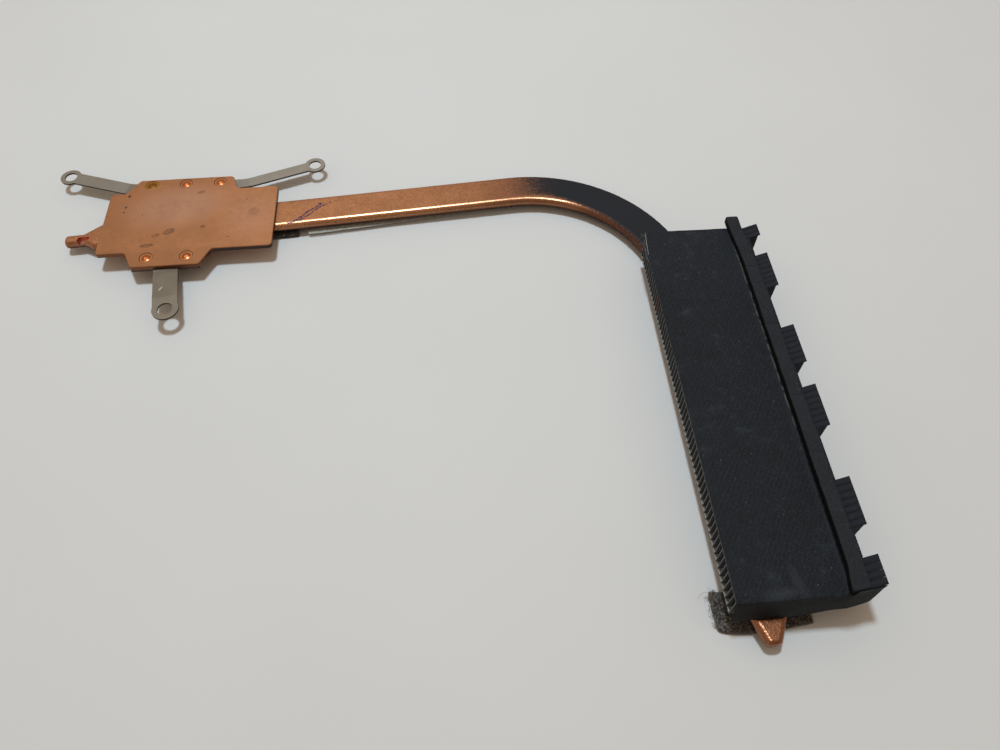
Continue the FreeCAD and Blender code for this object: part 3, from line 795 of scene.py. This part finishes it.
class HEATSINK_OT_foam(bpy.types.Operator):
    """Sweeps the soft strip along the flared side, with its far end leaning over the film"""
    bl_idname = "heatsink.foam"
    bl_label = "Exhaust foam"

    def execute(self, context):
        colours = context.scene.heatsink_colours
        sizes = context.scene.heatsink_sizes
        shift = sizes.foam_shift / MM
        lean = sizes.foam_lean / MM
        rounding = sizes.foam_round / MM
        low, high = FOAM
        ring_count = 330
        rings = []
        creases = [(11.2, 0.5), (7.0, 0.3), (-3.2, 0.6), (-19.0, 0.4), (-30.4, 0.5)]
        far = high[1] + 1.0
        for y in spread(low[1] + 0.02, far, ring_count):
            dent = sum(depth * math.exp(-((y - at) / 0.28) ** 2) for at, depth in creases)
            end = min(y - low[1], far - y)
            pinch = 0.10 * (1.0 - ease(end, 0.0, 0.25))
            over = -shift * ease(y, high[1] - lean, high[1] - 1.0)
            left = low[0] - 0.1 + over + pinch + 0.08 * unevenness((0.0, y, 2.0), 0.4)
            left -= 0.5 * ease(y, low[1] + 5.0, low[1] + 0.4)
            right = high[0] + over - pinch + 0.06 * unevenness((9.0, y, 2.0), 0.4)
            crown = high[2] - 0.04 - pinch + 0.05 * unevenness((4.0, y, 2.0), 0.5) - 0.4 * dent
            foot_left = max(FIN_TOP + (left - FOLD_X) * FLARE_SLOPE, FIN_TOP + 0.02)
            if left < FOLD_X:
                foot_left = FILM[1][2]
            foot_right = FIN_TOP + max(right - FOLD_X, 0.0) * FLARE_SLOPE
            points = []
            for x, z in foam_section(left, right, crown, foot_left, foot_right, rounding):
                rough = 0.035 * unevenness((x, y, z), 2.6) + 0.02 * unevenness((x, y, z), 6.0)
                slant = max(x - FOLD_X, 0.0) * FIN_SKEW * ease(y, low[1] + 3.0, low[1])
                points.append((x + rough, y + slant, min(z + rough * 0.8, high[2])))
            rings.append(points)
        bm = bmesh.new()
        loft(bm, rings)
        foam = new_piece("foam_strip", bm)
        smooth_shading(foam)
        foam_finish(colours).give(foam)
        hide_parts("exhaust_foam")
        return {"FINISHED"}


def felt_block(name, corners, low, high, lump, cells, seed, lift=0.0, bulge=0.0):
    """A lumpy, soft-edged pad on four corners; its first edge may bulge and its fourth corner curl up."""
    a, b, c, d = [Vector((*corner, 0.0)) for corner in corners]
    columns, rows = cells
    layers = 4
    bm = bmesh.new()
    top = {}

    def plan(i, j):
        u, v = i / columns, j / rows
        front = a * (1 - u) + b * u - Vector((0.0, bulge * math.sin(math.pi * u ** 0.6), 0.0))
        return front * (1 - v) + (d * (1 - u) + c * u) * v

    middle = (a + b + c + d) / 4
    border = [(i, 0) for i in range(columns)] + [(columns, j) for j in range(rows)]
    border += [(i, rows) for i in range(columns, 0, -1)] + [(0, j) for j in range(rows, 0, -1)]
    for i in range(columns + 1):
        for j in range(rows + 1):
            p = plan(i, j)
            rim = i in (0, columns) or j in (0, rows)
            rough = unevenness((p.x, p.y, seed), 0.9) * 0.6 + unevenness((p.x, p.y, seed + 4), 2.3) * 0.5
            z = high - lump * (0.5 - 0.5 * rough) - (0.12 if rim else 0.0)
            top[i, j] = bm.verts.new((p.x, p.y, z))
    for i in range(columns):
        for j in range(rows):
            bm.faces.new((top[i, j], top[i + 1, j], top[i + 1, j + 1], top[i, j + 1]))
    above = [top[key] for key in border]
    for layer in range(1, layers + 1):
        level = 1 - layer / layers
        ring = []
        for key in border:
            p = plan(*key)
            away = (p - middle).normalized()
            rough = unevenness((p.x, p.y, seed + 9 + level * 2), 1.6)
            out = 0.12 * math.sin(layer / layers * math.pi) + 0.1 * rough * (layer < layers)
            z = low + (top[key].co.z - low) * level
            ring.append(bm.verts.new((p.x + away.x * out, p.y + away.y * out, z)))
        for k in range(len(border)):
            bm.faces.new((above[k - 1], above[k], ring[k], ring[k - 1]))
        above = ring
    bm.faces.new(above)
    for vert in bm.verts:
        away = math.hypot(vert.co.x - d.x, vert.co.y - d.y)
        vert.co.z += lift * ease(away, 2.6, 0.0)
    piece = new_piece(name, bm)
    smooth_shading(piece)
    return piece


def fibre(bm, points, width):
    """A thin three-sided strand along points, tapered at its ends."""
    rings = []
    for k, p in enumerate(points):
        share = k / (len(points) - 1)
        reach = width * (0.25 + 0.75 * math.sin(math.pi * (0.15 + 0.7 * share)))
        around = [(reach * math.cos(t), reach * math.sin(t)) for t in (0.3, 2.4, 4.5)]
        rings.append([(p[0] + a, p[1] + b * 0.6, p[2] + b) for a, b in around])
    loft(bm, rings)


def curl(start, heading, length, bend, floor, steps=6):
    """Points of a loose strand that wanders from a start and stays above a floor."""
    points = [Vector(start)]
    direction = Vector(heading).normalized()
    for _ in range(steps):
        direction = (direction + Vector(bend) / steps).normalized()
        after = points[-1] + direction * length / steps
        after.z = max(after.z, floor)
        points.append(after)
    return points


def loose_fibres(sizes):
    """Strands that stand out of the end pad, most of them along its edges."""
    low, high = FELT
    rng = random.Random(4)
    bm = bmesh.new()
    usual = sizes.fibre_length / MM
    width = sizes.fibre_width / MM / 2
    floor = 0.06
    edges = [((low[0], low[1]), (high[0], low[1])), ((low[0], low[1]), (low[0], high[1])),
             ((low[0], high[1]), (STACK_LEFT, high[1])), ((high[0], low[1]), (high[0], high[1]))]
    weights = [8, 4, 1.5, 3]
    middle = Vector(((low[0] + high[0]) / 2, (low[1] + high[1]) / 2, 0.5))
    for _ in range(sizes.fibre_count):
        (x0, y0), (x1, y1) = rng.choices(edges, weights)[0]
        share = rng.random()
        inset = rng.uniform(-0.05, 1.6)
        start = Vector((x0 + (x1 - x0) * share, y0 + (y1 - y0) * share, rng.uniform(0.25, 0.95)))
        away = Vector((start.x - middle.x, start.y - middle.y, 0.0)).normalized()
        start -= away * inset
        heading = away * rng.uniform(0.1, 1.0)
        heading += Vector((rng.uniform(-1, 1), rng.uniform(-1, 1), rng.uniform(-0.5, 0.35)))
        bend = (rng.uniform(-2, 2), rng.uniform(-2, 2), rng.uniform(-1.2, 0.2))
        fibre(bm, curl(start, heading, usual * rng.uniform(0.4, 1.2), bend, floor), width)
    start = (low[0] + 0.15, high[1] - 0.1, 0.9)
    fibre(bm, curl(start, (-0.6, 0.8, 0.1), 2.6, (-1.6, -2.6, -0.2), floor, 12), width * 1.2)
    start = (low[0] + 0.1, high[1] - 0.3, 0.8)
    fibre(bm, curl(start, (-1.0, 0.2, 0.0), 1.7, (0.4, -2.2, -0.2), floor, 10), width)
    return bm


class HEATSINK_OT_felt(bpy.types.Operator):
    """Makes the felt pads and the loose fibres on the end pad"""
    bl_idname = "heatsink.felt"
    bl_label = "Felt pads"

    def execute(self, context):
        colours = context.scene.heatsink_colours
        sizes = context.scene.heatsink_sizes
        lump = sizes.felt_lump / MM
        low, high = FELT
        corners = [(low[0] + 0.3, low[1] - 0.35), (high[0], low[1] - 0.5),
                   (high[0], high[1]), (low[0], high[1])]
        pad = felt_block("felt_skin", corners, low[2], high[2], lump, cells=(56, 20), seed=1.0,
                         lift=0.7, bulge=0.9)
        felt_finish("grey_felt", colours.felt, colours.wool).give(pad)
        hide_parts("felt_pad")
        corners = [(PLATE_CENTRE + PIPE_ALONG * s + PIPE_ACROSS * t).to_2d() for s, t in PIPE_PAD]
        dark = felt_block("pipe_felt", corners, 0.0, PIPE_BOTTOM, lump, cells=(46, 26), seed=21.0)
        felt_finish("dark_felt", colours.dark_felt, colours.wool).give(dark)
        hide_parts("pipe_pad")
        fibres = new_piece("felt_fibres", loose_fibres(sizes))
        f = Finish("felt_fibre", {"Roughness": 0.8, "Specular IOR Level": 0.2})
        tone = f.smooth(f.noise(1.8, 3.0), 0.35, 0.7)
        f.feed("Base Color", f.shaded(colours.fibre, 0.12 + tone * 1.1))
        f.give(fibres)
        return {"FINISHED"}


class HEATSINK_OT_tape(bpy.types.Operator):
    """Lays the clear tape under the pipe's straight run"""
    bl_idname = "heatsink.tape"
    bl_label = "Pipe tape"

    def execute(self, context):
        colours = context.scene.heatsink_colours
        bm = bmesh.new()
        rings = []
        for s in spread(TAPE_START, PIPE_REACH, 150):
            near = -PIPE_HALF_WIDTH - 0.85 + 1.3 * ease(s, 24.0, 66.0)
            near += 0.1 * unevenness((s, 0.0, 3.0), 0.35) + 0.05 * unevenness((s, 0.0, 3.0), 1.7)
            sag = 0.05 + 0.05 * unevenness((s, 2.0, 8.0), 0.5)
            section = [(near, PIPE_BOTTOM - 0.07 - sag), (near + 0.5, PIPE_BOTTOM - 0.06 - sag * 0.5),
                       (-2.8, PIPE_BOTTOM - 0.01), (3.0, PIPE_BOTTOM - 0.01), (3.0, PIPE_BOTTOM - 0.1),
                       (-2.8, PIPE_BOTTOM - 0.1), (near + 0.5, PIPE_BOTTOM - 0.12 - sag * 0.5),
                       (near, PIPE_BOTTOM - 0.11 - sag)]
            foot = PLATE_CENTRE + PIPE_ALONG * s
            rings.append([foot + PIPE_ACROSS * t + Vector((0.0, 0.0, z)) for t, z in section])
        loft(bm, rings)
        tape = new_piece("tape_strip", bm)
        tape_finish(colours).give(tape)
        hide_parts("pipe_tape")
        return {"FINISHED"}


class HEATSINK_OT_fray(bpy.types.Operator):
    """Adds the pale threads that stick out of the film's far corner and cut edge"""
    bl_idname = "heatsink.fray"
    bl_label = "Frayed threads"

    def execute(self, context):
        colours = context.scene.heatsink_colours
        rng = random.Random(11)
        bm = bmesh.new()
        top = FILM[1][2] - 0.02
        thread_count = 16
        thread_width = 0.03
        for _ in range(thread_count):
            y = STACK_FAR + 0.3 - rng.random() ** 2 * 7.0
            start = (film_left(y) + 0.05, y, top - rng.uniform(0.0, 0.12))
            heading = (rng.uniform(-0.5, 0.2), rng.uniform(-1.0, 0.6), rng.uniform(-0.25, 0.1))
            bend = (rng.uniform(-0.6, 0.8), rng.uniform(-1.0, 0.5), rng.uniform(-0.4, 0.1))
            fibre(bm, curl(start, heading, rng.uniform(0.7, 2.2), bend, FIN_TOP - 2.0, 8), thread_width)
        sliver = curl((film_left(STACK_FAR) - 0.02, STACK_FAR + 0.3, top), (-0.13, -1.0, 0.0), 7.0,
                      (0.12, 0.0, -0.03), FIN_TOP - 1.0, 14)
        fibre(bm, sliver, thread_width * 3)
        threads = new_piece("film_threads", bm)
        f = Finish("thread_pale", {"Roughness": 0.8, "Specular IOR Level": 0.2})
        tint = f.noise(2.0, 3.0)
        f.feed("Base Color", f.shaded(colours.film_edge_and_lip_highlight, 0.55 + tint * 0.9))
        f.give(threads)
        return {"FINISHED"}


class HEATSINK_OT_metal(bpy.types.Operator):
    """Gives the plate, the pipe, the springs and the fins their finishes"""
    bl_idname = "heatsink.metal"
    bl_label = "Metal finishes"

    def execute(self, context):
        colours = context.scene.heatsink_colours
        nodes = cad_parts
        plate_finish(colours).give(nodes["cold_plate"])
        pipe_finish(colours).give(nodes["heat_pipe"])
        spring_finish(colours).give(nodes["upper_spring"], nodes["lower_spring"])
        fins = [obj for name, obj in sorted(nodes.items()) if name.startswith("fins_")]
        if not fins:
            raise RuntimeError("the frame holds no fins")
        fin_finish(colours).give(*fins)
        return {"FINISHED"}


def lay_table(scene, colours):
    """A wide, pale table top under the part."""
    bm = bmesh.new()
    bmesh.ops.create_grid(bm, x_segments=1, y_segments=1, size=TABLE_HALF_WIDTH)
    mesh = bpy.data.meshes.new("table_top")
    bm.to_mesh(mesh)
    bm.free()
    floor = bpy.data.objects.new("table_top", mesh)
    scene.collection.objects.link(floor)
    f = Finish("table_top", {"Roughness": 0.6, "Specular IOR Level": 0.2})
    f.feed("Base Color", f.shaded(colours.floor, 0.97 + f.noise(0.02, 3.0) * 0.06))
    f.give(floor)


def set_camera(scene, stage):
    """Aims the camera down at the part from the near right."""
    pitch, heading, roll = stage.camera_pitch, stage.camera_heading, stage.camera_roll
    level = Vector((math.sin(heading), math.cos(heading), 0.0))
    forward = level * math.cos(pitch) - Vector((0.0, 0.0, math.sin(pitch)))
    right = Vector((math.cos(heading), -math.sin(heading), 0.0))
    up = right.cross(forward)
    rolled_right = right * math.cos(roll) + up * math.sin(roll)
    rolled_up = up * math.cos(roll) - right * math.sin(roll)
    camera = bpy.data.objects.new("camera", bpy.data.cameras.new("camera"))
    camera.data.sensor_width = 36.0
    camera.data.lens = stage.lens
    camera.data.clip_start = 0.005
    x, y = on_plate(*CAMERA_FROM_PLATE)
    turn = Matrix((rolled_right, rolled_up, -forward)).transposed().to_4x4()
    camera.matrix_world = Matrix.Translation((x * MM, y * MM, stage.camera_height)) @ turn
    scene.collection.objects.link(camera)
    scene.camera = camera


def hang_lamp(scene, stage):
    """A cool, square lamp high over the table."""
    lamp = bpy.data.lights.new("overhead_lamp", "AREA")
    lamp.energy = stage.key_power
    lamp.size = stage.key_size
    lamp.spread = stage.key_spread
    lamp.color = stage.key_colour
    key = bpy.data.objects.new("overhead_lamp", lamp)
    key.location = LAMP_PLACE
    key.rotation_euler = (LAMP_AIM - LAMP_PLACE).to_track_quat("-Z", "Y").to_euler()
    scene.collection.objects.link(key)


def light_room(scene, stage):
    """Warm light from all round, a little stronger from beyond the part."""
    world = bpy.data.worlds.new("room")
    scene.world = world
    world.use_nodes = True
    room = Nodes(world.node_tree, "Background")
    side, away, above = room.split(room.node("ShaderNodeTexCoord", output="Generated"))
    room.feed("Color", rgba(stage.fill_colour))
    room.feed("Strength", (0.8 - side * 0.15 + away * 0.25 + above * 0.1) * stage.fill)


class HEATSINK_OT_stage(bpy.types.Operator):
    """Sets the table top, the camera, the overhead lamp and the even room light"""
    bl_idname = "heatsink.stage"
    bl_label = "Stage"

    def execute(self, context):
        scene = context.scene
        scene.view_settings.view_transform = "Standard"
        lay_table(scene, scene.heatsink_colours)
        set_camera(scene, scene.heatsink_stage)
        hang_lamp(scene, scene.heatsink_stage)
        light_room(scene, scene.heatsink_stage)
        return {"FINISHED"}


class HEATSINK_PT_panel(bpy.types.Panel):
    """Lists the heatsink's pieces, colours and sizes"""
    bl_idname = "HEATSINK_PT_panel"
    bl_label = "Laptop heatsink"
    bl_space_type = "VIEW_3D"
    bl_region_type = "UI"
    bl_category = "Heatsink"

    def draw(self, context):
        layout = self.layout
        for operator in OPERATORS:
            layout.operator(operator.bl_idname)
        for group_name in GROUPS:
            group = getattr(context.scene, group_name)
            column = layout.column()
            for name in group.bl_rna.properties.keys():
                if name not in ("rna_type", "name"):
                    column.prop(group, name)


GROUPS = {
    "heatsink_colours": HeatsinkColours,
    "heatsink_sizes": HeatsinkSizes,
    "heatsink_stage": HeatsinkStage,
}
OPERATORS = (HEATSINK_OT_metal, HEATSINK_OT_film, HEATSINK_OT_fray, HEATSINK_OT_foam, HEATSINK_OT_felt,
             HEATSINK_OT_tape, HEATSINK_OT_stage)
CLASSES = (*GROUPS.values(), *OPERATORS, HEATSINK_PT_panel)


def register():
    for cls in CLASSES:
        bpy.utils.register_class(cls)
    for group_name, group in GROUPS.items():
        setattr(bpy.types.Scene, group_name, PointerProperty(type=group))


def unregister():
    for group_name in GROUPS:
        delattr(bpy.types.Scene, group_name)
    for cls in reversed(CLASSES):
        bpy.utils.unregister_class(cls)


def main():
    register()
    bpy.ops.heatsink.metal()
    bpy.ops.heatsink.film()
    bpy.ops.heatsink.fray()
    bpy.ops.heatsink.foam()
    bpy.ops.heatsink.felt()
    bpy.ops.heatsink.tape()
    bpy.ops.heatsink.stage()


if __name__ == "__main__":
    main()
